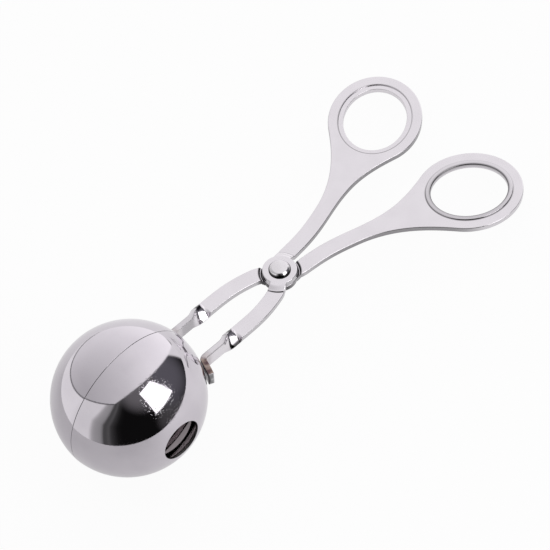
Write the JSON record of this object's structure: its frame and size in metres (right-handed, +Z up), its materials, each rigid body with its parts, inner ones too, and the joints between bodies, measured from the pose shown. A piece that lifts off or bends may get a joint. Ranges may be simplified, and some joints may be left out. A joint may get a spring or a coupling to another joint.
{
  "type": "meatball maker",
  "caption": "Scissor tongs of polished steel whose half shells close into a vented hollow ball to shape meatballs, worked by oval finger loops about a riveted pivot.",
  "frame": {"origin": "on the table under the middle of the closed tool's bounding box", "axes": "+X from the ball towards the finger loops, +Y towards the left half shell, +Z up"},
  "size_m": [0.2026, 0.0874, 0.0599],
  "materials": {
    "arm_steel": "satin polished stainless steel, softly blurred reflections, brown heat tint at the welded foot",
    "shell_steel": "mirror polished stainless steel",
    "rivet_steel": "bright stainless steel with a smooth pressed head"
  },
  "bodies": {
    "right_half": {"upper_arm": "arm_steel", "right_half_shell": "shell_steel", "pivot_rivet": "rivet_steel"},
    "left_half": {"lower_arm": "arm_steel", "left_half_shell": "shell_steel"}
  },
  "joints": [
    {"name": "jaw_pivot", "type": "hinge", "parent": "right_half", "child": "left_half", "pos_m": [0.0067, 0, 0.01694], "axis": [-0.1648, 0, -0.9863], "range_deg": [0, 55]}
  ]
}
